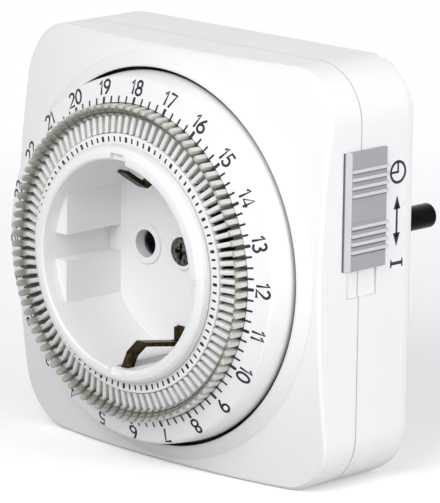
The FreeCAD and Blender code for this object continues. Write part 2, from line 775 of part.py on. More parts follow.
def motor_case():
    x, z = motor_at
    body = rod(motor_r, motor_y, motor_y + motor_depth, x, z)
    edges = [e for e in body.Edges if e.BoundBox.YMin > motor_y + motor_depth - 0.01]
    body = body.makeChamfer(motor_edge, edges)
    for ex, ez in motor_ears:
        ear = rod(motor_ear_r, motor_y, motor_y + motor_ear_thick, ex, ez)
        side = motor_ear_r / math.hypot(ex - x, ez - z)
        sx, sz = -(ez - z) * side, (ex - x) * side
        web = plate_from([(x + sx, z + sz), (x - sx, z - sz), (ex - sx, ez - sz), (ex + sx, ez + sz)],
                         motor_y, motor_y + motor_ear_thick)
        body = body.fuse(ear).fuse(web)
        body = body.cut(rod(motor_screw_r + 0.1, motor_y - 1, motor_y + motor_ear_thick + 1, ex, ez))
    body = body.cut(rod(axle_r + axle_gap, motor_y - 1, motor_y + 1.7, x, z))
    return body.removeSplitter()


def motor_screw(index):
    x, z = motor_ears[index]
    top = motor_y + motor_ear_thick
    length = motor_screw_bite if index == 0 else 0.0
    body = rod(motor_screw_head_r, top, top + motor_screw_head_h, x, z)
    return body.fuse(rod(motor_screw_r, bridge_y - length, top + 0.2, x, z))


def switch_lever():
    x0, x1 = lever_x - lever_width / 2, lever_x + lever_width / 2
    y0 = lever_pivot_y - lever_thick / 2
    y1 = lever_pivot_y + lever_thick / 2
    outline = [(lever_pivot_z, y0), (lever_nose_z - 2.0, y0), (lever_nose_z - 0.6, lever_nose_y),
               (lever_nose_z + 0.6, lever_nose_y), (lever_nose_z + 1.4, y0), (lever_end_z, y0),
               (lever_end_z, lever_tail_y), (lever_end_z - lever_tail_w, lever_tail_y),
               (lever_end_z - lever_tail_w, y1), (lever_pivot_z, y1)]
    body = prism([V(x0, y, z) for z, y in outline], V(lever_width, 0, 0))
    pivot = V(lever_x - lever_width / 2 - 0.3, lever_pivot_y, lever_pivot_z)
    body = body.fuse(Part.makeCylinder(lever_barrel_r, lever_width + 0.6, pivot, V(1, 0, 0)))
    hole = Part.makeCylinder(lever_pin_r + axle_gap, lever_width + 4, pivot - V(1, 0, 0), V(1, 0, 0))
    return body.cut(hole).removeSplitter()


def lever_pin():
    spans = lug_spans()
    start, end = spans[0][0], spans[1][1]
    return Part.makeCylinder(lever_pin_r, end - start, V(start, lever_pivot_y, lever_pivot_z), V(1, 0, 0))


contact_x = (leaf_left_x + leaf_right_x) / 2
leaf_back_y = leaf_front_y + leaf_thick
fixed_face_y = leaf_back_y + contact_thick + contact_gap


def moving_contact():
    leaf = box(leaf_left_x, leaf_right_x, leaf_front_y, leaf_back_y, leaf_root_z, leaf_tip_z)
    return leaf.fuse(rod(contact_r, leaf_back_y - 0.1, leaf_back_y + contact_thick, contact_x, contact_z))


def contact_terminal():
    """Post that the moving leaf springs from, and the strip from it to the live sleeve."""
    end_z = leaf_root_z - 0.1
    foot = box(leaf_left_x, leaf_right_x, leaf_front_y - 0.4, leaf_back_y + 0.4, end_z - 3.0, end_z)
    post = box(contact_x - 1.4, contact_x + 1.4, leaf_back_y, inner_back_y, end_z - 3.0, end_z - 1.4)
    run_y = sleeve_y + sleeve_length - 2.4
    bar = box(pin_x, contact_x + 1.4, run_y - 1.6, run_y, end_z - 3.0, end_z - 2.2)
    drop = box(pin_x - 1.4, pin_x + 1.4, run_y - 1.6, run_y, end_z - 3.0, -pin_r - sleeve_wall + 0.3)
    body = foot.fuse(post).fuse(bar).fuse(drop)
    return body.cut(rod(pin_r + sleeve_gap + sleeve_wall, run_y - 5, run_y + 5, pin_x)).removeSplitter()


def fixed_contact():
    rivet = rod(contact_r + 0.2, fixed_face_y, fixed_face_y + contact_thick + 0.1, contact_x, contact_z)
    y0 = fixed_face_y + contact_thick
    strip = box(leaf_left_x, leaf_right_x, y0, y0 + fixed_strip_thick, fixed_leg_z, contact_z + 2.2)
    leg = box(leaf_left_x, leaf_right_x, y0, inner_back_y, fixed_leg_z,
              fixed_leg_z + fixed_strip_thick)
    return rivet.fuse(strip).fuse(leg).removeSplitter()


def live_link():
    """Strip from the fixed contact's leg to the root of the live pin."""
    y_pin = plug_face_y - pin_root
    z0, z1 = fixed_leg_z - fixed_strip_thick, fixed_leg_z
    run = box(pin_x - 1.5, leaf_right_x, inner_back_y - 3.0, inner_back_y - 0.1, z0, z1)
    riser = box(pin_x - 1.5, pin_x + 1.5, inner_back_y - 3.0, y_pin, z0, z1)
    cross = box(pin_x - 1.5, pin_x + 1.5, y_pin - fixed_strip_thick, y_pin, -1.5, z1)
    return run.fuse(riser).fuse(cross).removeSplitter()


def sleeve(x):
    body = rod(pin_r + sleeve_gap + sleeve_wall, sleeve_y, sleeve_y + sleeve_length, x)
    body = body.cut(rod(pin_r + sleeve_gap, sleeve_y - 1, sleeve_y + sleeve_length - 0.8, x))
    return body


def plug_pin(x):
    body = rod(pin_r, plug_face_y, plug_face_y + pin_length, x)
    edges = [e for e in body.Edges if e.BoundBox.YMin > plug_face_y + pin_length - 0.01]
    body = body.makeChamfer(pin_tip_r, edges)
    body = body.fuse(rod(pin_root_r, plug_face_y - pin_root, plug_face_y, x))
    inside = plug_face_y - plug_end_wall
    return body.fuse(rod(pin_r + pin_head_over, inside - pin_head_h, inside, x)).removeSplitter()


def neutral_link():
    y0 = sleeve_y + sleeve_length
    return box(-pin_x - link_half, -pin_x + link_half, y0, plug_face_y - pin_root,
               -link_thick / 2, link_thick / 2)


def earth_bracket():
    """Strap behind the well's floor, with a spring clip at the top and one at the bottom."""
    pieces = []
    y_mid = floor_y - earth_thick / 2 - 0.05
    for side in (-1, 1):
        path = [(tube_back_y + 0.2 + earth_thick, side * (clip_tab_z + 0.7)),
                (y_mid, side * (clip_tab_z + 0.7)), (y_mid, side * (clip_heel_z + 0.1)),
                (clip_heel_y, side * clip_heel_z), (clip_crest_y, side * clip_crest_z),
                (clip_knee_y, side * clip_knee_z), (clip_foot_y, side * clip_foot_z)]
        pieces.append(strip_in_yz(path, earth_thick, -earth_width / 2, earth_width / 2))
    y0 = tube_back_y + 0.2
    strap = box(-strap_half, strap_half, y0, y0 + earth_thick, -earth_rail_out, earth_rail_out)
    strap = strap.cut(rod(centre_boss_r + strap_gap, y0 - 1, y0 + 2))
    body = strap
    for piece in pieces:
        body = body.fuse(piece)
    return body.removeSplitter()


def plug_earth_contact(side):
    """Strip from the strap back along the plug's side."""
    y0 = tube_back_y + 0.2 + earth_thick
    z_in, z_out = earth_rail_z - earth_thick, earth_rail_z
    z0, z1 = sorted((side * z_in, side * z_out))
    rail = box(-earth_rail_width / 2 + 0.1, earth_rail_width / 2 - 0.1, y0, plug_face_y - 2.2, z0, z1)
    crown_in, crown_out = sorted((side * z_out, side * (plug_r + 0.15)))
    crown = box(-earth_rail_width / 2 + 0.1, earth_rail_width / 2 - 0.1, back_y + 5.0,
                plug_face_y - 3.0, crown_in, crown_out)
    return rail.fuse(crown).removeSplitter()


def override_slider():
    x0 = body_half
    x1 = body_half + slider_proud - ridge_height
    middle = (slider_z0 + slider_z1) / 2
    outline = [(x0 + slider_gap, slider_y0), (x1, slider_y0 + slider_bevel),
               (x1, slider_y1), (x0 + slider_gap, slider_y1)]
    body = prism([V(x, y, slider_z0) for x, y in outline], V(0, 0, slider_z1 - slider_z0))
    for place in ridge_places:
        for sign in (-1, 1):
            z = middle + sign * place
            body = body.fuse(box(x1 - 0.2, x1 + ridge_height, slider_y0 + slider_bevel,
                                 slider_y1 + ridge_overhang, z - ridge_width / 2, z + ridge_width / 2))
    neck = box(inner_half - 0.6, x0 + slider_gap + 0.1, neck_y0, neck_y1, neck_z0, neck_z1)
    return body.fuse(neck).removeSplitter()


def slider_carrier():
    """Inner plate that keeps the slider on the wall, with the finger that works the contact leaf."""
    x1 = inner_half - slider_gap
    x0 = x1 - carrier_thick
    plate = box(x0, x1, neck_y0 - carrier_over - 1.4, neck_y1 + carrier_over, neck_z0 - carrier_over,
                neck_z1 + carrier_over)
    plate = plate.cut(box(x0 - 1, x1 + 1, neck_y0, neck_y1, neck_z0, neck_z1))
    finger = box(lever_x + lever_width / 2 + 0.5, x0 + 0.3, leaf_front_y - 2.4, leaf_front_y - 0.3,
                 leaf_tip_z + 0.8, leaf_tip_z + 3.2)
    arm = box(x0, x1, leaf_front_y - 2.4, neck_y0, leaf_tip_z + 0.8, leaf_tip_z + 3.2)
    return plate.fuse(arm).fuse(finger).removeSplitter()


def lead(path):
    """Insulated wire along straight runs with rounded corners."""
    pieces = []
    for a, b in zip(path, path[1:]):
        start, end = V(*a), V(*b)
        pieces.append(Part.makeCylinder(lead_r, (end - start).Length, start, end - start))
    body = pieces[0]
    for i, piece in enumerate(pieces[1:]):
        body = body.fuse(piece).fuse(Part.makeSphere(lead_r, V(*path[i + 1])))
    return body.removeSplitter()


def motor_leads():
    live_y = inner_back_y - 1.6
    live = lead([(motor_x + motor_r, live_y, motor_z), (lead_turn_x, live_y, motor_z),
                 (lead_turn_x, live_y, fixed_leg_z + lead_r)])
    neutral_y = sleeve_y + sleeve_length - 4.0
    reach = pin_r + sleeve_gap + sleeve_wall + lead_r
    neutral = lead([(motor_x, neutral_y, motor_z - motor_r - lead_r * 0.2), (motor_x, neutral_y, 0.0),
                    (-pin_x - reach, neutral_y, 0.0)])
    return live, neutral


def main():
    os.makedirs("parts", exist_ok=True)
    save("front_shell", front_shell())
    save("rear_shell", rear_shell())
    save("socket_well", socket_well())
    save("centre_screw", centre_screw())
    save("housing_screws", *[housing_screw(x, z) for x, z in shell_screws])
    save("program_dial", dial())
    for hour in range(1, hours + 1):
        save("tappets_h%02d" % hour, *tappet_group(hour))
    save("mechanism_plate", mechanism_plate())
    save("gear_bridge", gear_bridge())
    save("gear_axles", *gear_axles())
    save("motor_case", motor_case())
    save("motor_screws", motor_screw(0), motor_screw(1))
    save("motor_pinion", motor_pinion())
    save("gear_1", gear_1())
    save("gear_2", gear_2())
    save("clutch_wheel", clutch_wheel())
    save("clutch_spring", clutch_spring())
    save("dial_pinion", dial_pinion())
    save("switch_lever", switch_lever())
    save("lever_pin", lever_pin())
    save("moving_contact", moving_contact())
    save("contact_terminal", contact_terminal())
    save("fixed_contact", fixed_contact())
    save("override_slider", override_slider())
    save("slider_carrier", slider_carrier())
    save("live_link", live_link())
    save("neutral_link", neutral_link())
    save("sleeve_live", sleeve(pin_x))
    save("sleeve_neutral", sleeve(-pin_x))
    save("plug_pin_live", plug_pin(pin_x))
    save("plug_pin_neutral", plug_pin(-pin_x))
    save("earth_bracket", earth_bracket())
    save("plug_earth_contacts", plug_earth_contact(-1), plug_earth_contact(1))
    live, neutral = motor_leads()
    save("motor_lead_live", live)
    save("motor_lead_neutral", neutral)


main()
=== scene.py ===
import json
import math

import bpy
from mathutils import Matrix, Vector


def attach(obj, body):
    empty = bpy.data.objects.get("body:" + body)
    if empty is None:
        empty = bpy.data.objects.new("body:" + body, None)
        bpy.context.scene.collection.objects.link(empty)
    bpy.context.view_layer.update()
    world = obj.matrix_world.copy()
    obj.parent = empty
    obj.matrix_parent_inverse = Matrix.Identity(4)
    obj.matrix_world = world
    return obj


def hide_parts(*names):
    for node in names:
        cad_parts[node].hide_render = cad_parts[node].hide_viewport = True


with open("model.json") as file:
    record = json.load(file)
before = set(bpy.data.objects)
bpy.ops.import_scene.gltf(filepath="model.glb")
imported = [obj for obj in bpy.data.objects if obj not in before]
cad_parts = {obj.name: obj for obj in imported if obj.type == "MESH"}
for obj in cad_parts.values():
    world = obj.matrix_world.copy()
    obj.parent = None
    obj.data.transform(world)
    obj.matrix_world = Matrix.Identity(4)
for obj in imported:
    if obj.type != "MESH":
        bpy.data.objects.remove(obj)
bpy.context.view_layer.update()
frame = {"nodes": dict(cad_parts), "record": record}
bpy.ops.object.select_all(action="DESELECT")

MM = 0.001

# The dial's axis runs along Y; sizes below are in millimetres from it, with y from the rim's front
AXIS_X = -0.6
FRONT_Y = -38.15
AXIS_Z = 39.5

HOUR_STEP = 15.0
QUARTER_STEP = 3.75
FINGERS_PER_HOUR = 4
HOURS = 24

# Dial: its flat inner ring, the channel the fingers stand in, and the cone that carries the figures
RING_Y = 2.4
CHANNEL_IN_R = 24.2
CHANNEL_OUT_R = 29.75
CONE_IN_Y = 4.15
CONE_SLOPE = math.atan(1.42 / 4.12)
DIAL_R = 34.9
OPENING_R = 35.6
COLLAR_Y = 10.6

INNER_MARKS_R = 23.2
OUTER_MARKS_R = 30.3
INK_DEEP = 0.03
FIGURE_HEIGHT = 2.9
FIGURE_NARROW = 1.06
FIGURE_STROKE = 0.25
FIGURE_GAP = 0.08
FIGURE_R = 32.6

# Housing's side, its seam, and the slider with its ridges
SIDE_X = 39.5
SEAM_Y = 23.1
SEAM_GAP = 0.12
SLIDER_MID = 13.525
SLIDER_BEVEL_Y = 19.8
RIDGE_PITCH = 1.5

# Where the earth strap's upper clip bends, and how far each bend moves along Y and Z
CLIP_SHIFTS = (((3.1, 20.3), (-1.5, -2.8)), ((4.6, 17.4), (-1.4, -1.0)), ((6.9, 15.9), (0.0, -1.8)))
CLIP_REACH = 1.1

AMBIENT = 0.38
FLOOR_LIFT = 0.25
LAMP_AIM = Vector((0, -0.02, 0.04))
# Each lamp's name, direction, distance and size in metres, and power in watts
LAMPS = (
    ("key_lamp", (0.22, -0.75, 0.52), 0.40, 0.28, 1.02),
    ("side_lamp", (0.95, 0.12, 0.25), 1.2, 0.8, 8.0),
    ("back_lamp", (-0.35, 0.93, -0.02), 1.3, 0.7, 3.4),
)

# Near-black painted into surfaces as deep shade in gaps and down walls
DEEP_SHADE = (0.012, 0.006, 0.016)


def spot(x, y, z):
    """Place in metres of a point given in millimetres from the dial's axis."""
    return Vector(((x + AXIS_X) * MM, (y + FRONT_Y) * MM, (z + AXIS_Z) * MM))


def camera():
    data = bpy.data.cameras.new("camera")
    view = bpy.data.objects.new("camera", data)
    bpy.context.scene.collection.objects.link(view)
    forward = Vector((-0.6805, 0.6996, -0.2182)).normalized()
    right = forward.cross(Vector((0, 0, 1))).normalized()
    up = right.cross(forward)
    roll = math.radians(0.769)
    tilted_right = right * math.cos(roll) + up * math.sin(roll)
    tilted_up = up * math.cos(roll) - right * math.sin(roll)
    turn = Matrix((tilted_right, tilted_up, -forward)).transposed().to_4x4()
    view.matrix_world = Matrix.Translation((0.5758, -0.60465, 0.2255)) @ turn
    data.sensor_width = 36.0
    data.lens = 323.05
    data.shift_x = 0.0100
    data.shift_y = -0.0259
    data.clip_start = 0.05
    data.clip_end = 50.0
    bpy.context.scene.camera = view


# Materials

def shader(name):
    """A new material, its node tree and its main shader."""
    made = bpy.data.materials.new(name)
    made.use_nodes = True
    tree = made.node_tree
    return made, tree, tree.nodes["Principled BSDF"]


def add(tree, kind, **settings):
    node = tree.nodes.new(kind)
    for key, value in settings.items():
        setattr(node, key, value)
    return node


def noise(tree, feature_mm, detail=2.0, stretch=None):
    """Noise on the piece's own coordinates, with features of the given size."""
    place = add(tree, "ShaderNodeTexCoord")
    source = place.outputs["Object"]
    if stretch:
        mapping = add(tree, "ShaderNodeMapping")
        mapping.inputs["Scale"].default_value = stretch
        tree.links.new(source, mapping.inputs["Vector"])
        source = mapping.outputs["Vector"]
    grain = add(tree, "ShaderNodeTexNoise")
    grain.inputs["Scale"].default_value = 1.0 / (feature_mm * MM)
    grain.inputs["Detail"].default_value = detail
    tree.links.new(source, grain.inputs["Vector"])
    return grain.outputs["Fac"]


def between(tree, factor, low, high, colour_a, colour_b):
    """Colour that goes from one to the other as the factor goes from low to high."""
    ramp = add(tree, "ShaderNodeValToRGB")
    ramp.color_ramp.elements[0].position = low
    ramp.color_ramp.elements[1].position = high
    ramp.color_ramp.elements[0].color = (*colour_a, 1)
    ramp.color_ramp.elements[1].color = (*colour_b, 1)
    tree.links.new(factor, ramp.inputs["Fac"])
    return ramp.outputs["Color"]


def spread(tree, factor, low, high, start=0.3, end=0.7, clamp=True):
    """Factor that goes from low to high as the one it is given goes from start to end."""
    ranged = add(tree, "ShaderNodeMapRange", clamp=clamp)
    ranged.inputs["From Min"].default_value = start
    ranged.inputs["From Max"].default_value = end
    ranged.inputs["To Min"].default_value = low
    ranged.inputs["To Max"].default_value = high
    tree.links.new(factor, ranged.inputs["Value"])
    return ranged.outputs["Result"]


def relief(tree, main, factor, depth_mm, edge_mm=0.0):
    """Fine surface relief, over edges rounded by edge_mm."""
    bump = add(tree, "ShaderNodeBump")
    bump.inputs["Strength"].default_value = 1.0
    bump.inputs["Distance"].default_value = depth_mm * MM
    tree.links.new(factor, bump.inputs["Height"])
    if edge_mm:
        rounded = add(tree, "ShaderNodeBevel", samples=4)
        rounded.inputs["Radius"].default_value = edge_mm * MM
        tree.links.new(rounded.outputs["Normal"], bump.inputs["Normal"])
    tree.links.new(bump.outputs["Normal"], main.inputs["Normal"])


def moulded(name, colour, shade, rough=(0.3, 0.38), grain_mm=0.25, depth_mm=0.004, edge_mm=0.15):
    """Moulded plastic: faint clouding, a fine even grain and softened edges."""
    made, tree, main = shader(name)
    clouds = noise(tree, 14.0, 3.0)
    tree.links.new(between(tree, clouds, 0.35, 0.65, shade, colour), main.inputs["Base Color"])
    grain = noise(tree, grain_mm, 2.0)
    tree.links.new(spread(tree, noise(tree, 3.0, 3.0), *rough), main.inputs["Roughness"])
    relief(tree, main, grain, depth_mm, edge_mm)
    main.inputs["IOR"].default_value = 1.49
    return made


def metal(name, colour, shade, rough=(0.22, 0.4), stretch=(1, 1, 1), patch_mm=1.2, depth_mm=0.003):
    """Metal with tarnish patches, drawn lines and softened edges."""
    made, tree, main = shader(name)
    patches = noise(tree, patch_mm, 4.0)
    tree.links.new(between(tree, patches, 0.35, 0.62, shade, colour), main.inputs["Base Color"])
    lines = noise(tree, 0.12, 2.0, stretch)
    tree.links.new(spread(tree, lines, *rough), main.inputs["Roughness"])
    relief(tree, main, lines, depth_mm, 0.08)
    main.inputs["Metallic"].default_value = 1.0
    return made


def along(tree, axis, start, end, clamp=True):
    """Factor that goes from 0 to 1 along X, Y or Z, in millimetres from the dial's axis and rim."""
    place = add(tree, "ShaderNodeTexCoord")
    parts = add(tree, "ShaderNodeSeparateXYZ")
    tree.links.new(place.outputs["Object"], parts.inputs[0])
    shift = {"X": AXIS_X, "Y": FRONT_Y, "Z": AXIS_Z}[axis]
    return spread(tree, parts.outputs[axis], 0.0, 1.0, (start + shift) * MM, (end + shift) * MM, clamp)


def from_axis(tree, start, end):
    """Factor that goes from 0 to 1 as the distance from the dial's axis goes from start to end."""
    place = add(tree, "ShaderNodeTexCoord")
    centred = add(tree, "ShaderNodeMapping")
    centred.inputs["Location"].default_value = (-AXIS_X * MM, 0, -AXIS_Z * MM)
    centred.inputs["Scale"].default_value = (1, 0, 1)
    tree.links.new(place.outputs["Object"], centred.inputs["Vector"])
    reach = add(tree, "ShaderNodeVectorMath", operation="LENGTH")
    tree.links.new(centred.outputs["Vector"], reach.inputs[0])
    return spread(tree, reach.outputs["Value"], 0.0, 1.0, start * MM, end * MM)


def blend(tree, factor, first, second, kind="MIX"):
    """Mix of two colours, each a socket or a plain colour."""
    mix = add(tree, "ShaderNodeMix", data_type="RGBA", blend_type=kind)
    if isinstance(factor, float):
        mix.inputs["Factor"].default_value = factor
    else:
        tree.links.new(factor, mix.inputs["Factor"])
    for socket, value in (("A", first), ("B", second)):
        if isinstance(value, tuple):
            mix.inputs[socket].default_value = (*value, 1)
        else:
            tree.links.new(value, mix.inputs[socket])
    return mix.outputs["Result"]


def calc(tree, operation, *terms):
    """Result of one sum on factors."""
    node = add(tree, "ShaderNodeMath", operation=operation)
    for socket, term in zip(node.inputs, terms):
        if isinstance(term, float):
            socket.default_value = term
        else:
            tree.links.new(term, socket)
    return node.outputs["Value"]


def product(tree, first, second):
    return calc(tree, "MULTIPLY", first, second)


def colour_of(main):
    """The colour that a shader has so far."""
    return main.inputs["Base Color"].links[0].from_socket


def finger_plastic():
    """Natural nylon: whitish bars, and grips that go from olive at their inner side to pale at the outer;
    the greenish tone is the nylon's own, the darkening at the root painted shade and the paling outwards
    painted light.
    """
    made, tree, main = shader("natural_nylon")
    # painted shade at the grip's inner root, fading to painted light outwards
    grip = between(tree, from_axis(tree, 27.7, 29.3), 0.0, 1.0, (0.19, 0.197, 0.147), (0.52, 0.53, 0.475))
    # a paler painted highlight on the grip's outer tip
    grip = blend(tree, from_axis(tree, 29.4, 29.64), grip, (0.70, 0.71, 0.66))
    colour = blend(tree, from_axis(tree, 27.1, 27.9), (0.86, 0.86, 0.85), grip)
    tint = between(tree, noise(tree, 1.6, 3.0), 0.3, 0.7, (0.86, 0.88, 0.86), (1.0, 1.0, 1.0))
    tree.links.new(blend(tree, 1.0, colour, tint, "MULTIPLY"), main.inputs["Base Color"])
    tree.links.new(spread(tree, noise(tree, 1.0), 0.22, 0.36), main.inputs["Roughness"])
    relief(tree, main, noise(tree, 0.2), 0.004, 0.05)
    main.inputs["Subsurface Weight"].default_value = 0.12
    main.inputs["Subsurface Radius"].default_value = (0.9, 1.0, 0.8)
    main.inputs["Subsurface Scale"].default_value = 0.0004
    main.inputs["IOR"].default_value = 1.52
    return made


def dial_plastic():
    """White plastic, with painted deep shade down the channel's inner wall and down the dial's outer edge.
    """
    made = moulded("dial_abs", (0.90, 0.90, 0.905), (0.885, 0.887, 0.893), edge_mm=0.12)
    tree = made.node_tree
    main = tree.nodes["Principled BSDF"]
    outside = from_axis(tree, CHANNEL_IN_R - 0.15, CHANNEL_IN_R - 0.05)
    inside = from_axis(tree, CHANNEL_IN_R + 0.5, CHANNEL_IN_R + 0.3)
    wall = product(tree, product(tree, outside, inside), along(tree, "Y", RING_Y + 0.3, RING_Y + 1.4))
    colour = blend(tree, wall, colour_of(main), DEEP_SHADE)
    rim = from_axis(tree, DIAL_R - 0.2, DIAL_R - 0.1)
    edge = product(tree, rim, along(tree, "Y", COLLAR_Y + 0.4, COLLAR_Y + 1.0))
    tree.links.new(blend(tree, edge, colour, DEEP_SHADE), main.inputs["Base Color"])
    return made


def housing_plastic(name):
    return moulded(name, (0.90, 0.90, 0.91), (0.885, 0.886, 0.895), edge_mm=0.55)


def front_plastic():
    """The housing's white plastic, with painted deep shade down the wall of the opening round the dial."""
    made = housing_plastic("front_abs")
    tree = made.node_tree
    main = tree.nodes["Principled BSDF"]
    bore = from_axis(tree, OPENING_R + 0.08, OPENING_R + 0.04)
    wall = product(tree, bore, along(tree, "Y", COLLAR_Y + 0.05, COLLAR_Y + 0.5))
    tree.links.new(blend(tree, wall, colour_of(main), DEEP_SHADE), main.inputs["Base Color"])
    return made


def ridge_shade(tree):
    """Factor that is 1 just under each of the slider's ridges, on its flat face, where painted shade goes.
    """
    turns = along(tree, "Z", SLIDER_MID, SLIDER_MID + RIDGE_PITCH, clamp=False)
    under = spread(tree, calc(tree, "FRACT", turns), 0.0, 1.0, 0.46, 0.68)
    away = calc(tree, "ABSOLUTE", along(tree, "Z", SLIDER_MID, SLIDER_MID + 1.0, clamp=False))
    under = product(tree, under, spread(tree, away, 0.0, 1.0, 2.0, 2.3))
    under = product(tree, under, spread(tree, away, 1.0, 0.0, 8.1, 8.3))
    return product(tree, under, along(tree, "Y", SLIDER_BEVEL_Y + 0.05, SLIDER_BEVEL_Y + 0.15))


def slider_plastic():
    """Grey plastic, with a painted highlight on the ridges' crests, a pale painted lit strip on the bevelled
    front edge, a painted shadow line along that edge's outer side and painted shade under each ridge.
    """
    made = moulded("slider_grey_abs", (0.385, 0.39, 0.415), (0.36, 0.365, 0.39), (0.38, 0.46), edge_mm=0.1)
    tree = made.node_tree
    main = tree.nodes["Principled BSDF"]
    # painted shadow line along the bevel's outer side, then the bevel painted pale as lit
    bevel = blend(tree, along(tree, "Y", 18.5, 18.7), (0.10, 0.09, 0.15), (0.60, 0.60, 0.61))
    face = along(tree, "Y", SLIDER_BEVEL_Y - 0.05, SLIDER_BEVEL_Y + 0.05)
    colour = blend(tree, face, bevel, colour_of(main))
    # painted shade under each ridge, where the ridges would cast shadow
    colour = blend(tree, ridge_shade(tree), colour, (0.13, 0.125, 0.16))
    # painted highlight along the ridges' crests
    crest_painted_highlight = along(tree, "X", SIDE_X + 0.92, SIDE_X + 1.08)
    tree.links.new(blend(tree, crest_painted_highlight, colour, (0.66, 0.66, 0.67)), main.inputs["Base Color"])
    return made


def ink(name, colour, shade):
    made, tree, main = shader(name)
    tree.links.new(between(tree, noise(tree, 0.35, 3.0), 0.3, 0.7, shade, colour), main.inputs["Base Color"])
    tree.links.new(spread(tree, noise(tree, 0.8), 0.4, 0.55), main.inputs["Roughness"])
    return made


finishes = {
    "housing_white": housing_plastic("shell_abs"),
    "well_white": moulded("well_thermoplastic", (0.90, 0.90, 0.905), (0.885, 0.885, 0.89), edge_mm=0.2),
    "dial_white": dial_plastic(),
    "tappet_natural": finger_plastic(),
    "slider_grey": slider_plastic(),
    "carrier_white": moulded("carrier_acetal", (0.80, 0.80, 0.79), (0.76, 0.76, 0.75), (0.4, 0.5)),
    # The mechanism plate is painted near-black: painted shade seen through the gap round the dial
    "mechanism_plastic": moulded("plate_painted_shade_black", (0.02, 0.02, 0.023), (0.014, 0.014, 0.016), (0.5, 0.6)),
    "gear_plastic": moulded(
        "gear_acetal", (0.80, 0.77, 0.66), (0.75, 0.72, 0.6), (0.35, 0.45), edge_mm=0.05),
    "bridge_plastic": moulded("bridge_glass_filled", (0.075, 0.08, 0.09), (0.06, 0.063, 0.07), (0.45, 0.6)),
    "lever_plastic": moulded("lever_acetal", (0.52, 0.07, 0.03), (0.46, 0.055, 0.025), (0.4, 0.5)),
    "steel": metal("bright_steel", (0.56, 0.56, 0.57), (0.48, 0.48, 0.49), stretch=(1, 0.1, 1)),
    "screw_steel": metal(
        "dull_zinc_plate", (0.17, 0.175, 0.15), (0.014, 0.015, 0.010), (0.24, 0.42),
        patch_mm=0.7, depth_mm=0.012),
    # Pins painted near-black as painted shade and dark reflection; the real pins are bright nickel
    "pin_nickel": metal(
        "nickel_painted_near_black", (0.006, 0.006, 0.007), (0.003, 0.003, 0.0035), (0.22, 0.34), (1, 0.15, 1)),
    # Bronze painted very dark: painted dark reflection of the well's inside, which the clips face
    "earth_bronze": metal(
        "bronze_painted_dark", (0.062, 0.040, 0.016), (0.014, 0.009, 0.004), (0.34, 0.52), (0.15, 1, 1)),
    "brass": metal("tinned_brass", (0.30, 0.33, 0.37), (0.20, 0.21, 0.23), stretch=(1, 0.15, 1)),
    "contact_bronze": metal("spring_bronze", (0.60, 0.42, 0.22), (0.48, 0.33, 0.17), stretch=(1, 1, 0.12)),
    "motor_can": metal("zinc_can", (0.46, 0.47, 0.48), (0.38, 0.39, 0.40), (0.3, 0.5), patch_mm=4.0),
    "lead_black": moulded("lead_pvc_black", (0.03, 0.03, 0.033), (0.022, 0.022, 0.025), (0.4, 0.55)),
    "lead_blue": moulded("lead_pvc_blue", (0.03, 0.10, 0.42), (0.025, 0.08, 0.36), (0.4, 0.55)),
}
dial_ink = ink("dial_ink", (0.012, 0.008, 0.022), (0.006, 0.004, 0.013))
side_ink = ink("side_ink", (0.013, 0.008, 0.045), (0.008, 0.005, 0.03))


def paint(piece, finish):
    piece.data.materials.clear()
    piece.data.materials.append(finish)


# Modelling helpers

def only(piece):
    bpy.ops.object.select_all(action="DESELECT")
    piece.select_set(True)
    bpy.context.view_layer.objects.active = piece


def pick(piece, keep, kind="FACE"):
    """In edit mode, select the faces, edges or vertices that keep() takes."""
    bpy.ops.mesh.select_mode(type=kind)
    bpy.ops.mesh.select_all(action="DESELECT")
    bpy.ops.object.mode_set(mode="OBJECT")
    mesh = piece.data
    if kind == "FACE":
        for face in mesh.polygons:
            face.select = keep(face.center, face.normal)
    elif kind == "EDGE":
        for edge in mesh.edges:
            a, b = (mesh.vertices[i].co for i in edge.vertices)
            edge.select = keep(a, b)
    else:
        for corner in mesh.vertices:
            corner.select = keep(corner.co)
    bpy.ops.object.mode_set(mode="EDIT")


def settle(piece, place=None):
    """Put the piece's place into its mesh, so that its object sits at the origin."""
    only(piece)
    if place is not None:
        piece.matrix_world = place
    bpy.ops.object.transform_apply(location=True, rotation=True, scale=True)
    return piece


def join(name, pieces):
    bpy.ops.object.select_all(action="DESELECT")
    for piece in pieces:
        piece.select_set(True)
    bpy.context.view_layer.objects.active = pieces[0]
    if len(pieces) > 1:
        bpy.ops.object.join()
    whole = bpy.context.view_layer.objects.active
    whole.name = name
    whole.data.name = name
    return whole


def copy_of(piece):
    twin = piece.copy()
    twin.data = piece.data.copy()
    bpy.context.scene.collection.objects.link(twin)
    return twin


def clock_place(hours, radius, y, slope=0.0):
    """Place on the dial at an hour: X runs clockwise, Y outwards and Z off the surface."""
    angle = math.radians(180.0 + HOUR_STEP * hours)
    out = Vector((math.cos(angle), 0, math.sin(angle)))
    back = Vector((0, 1, 0))
    along = out * math.cos(slope) + back * math.sin(slope)
    across = Vector((math.sin(angle), 0, -math.cos(angle)))
    off = across.cross(along)
    turn = Matrix((across, along, off)).transposed().to_4x4()
    centre = spot(out.x * radius, y, out.z * radius)
    return Matrix.Translation(centre) @ turn


def cone_y(radius):
    return CONE_IN_Y + (radius - CHANNEL_OUT_R) * math.tan(CONE_SLOPE)


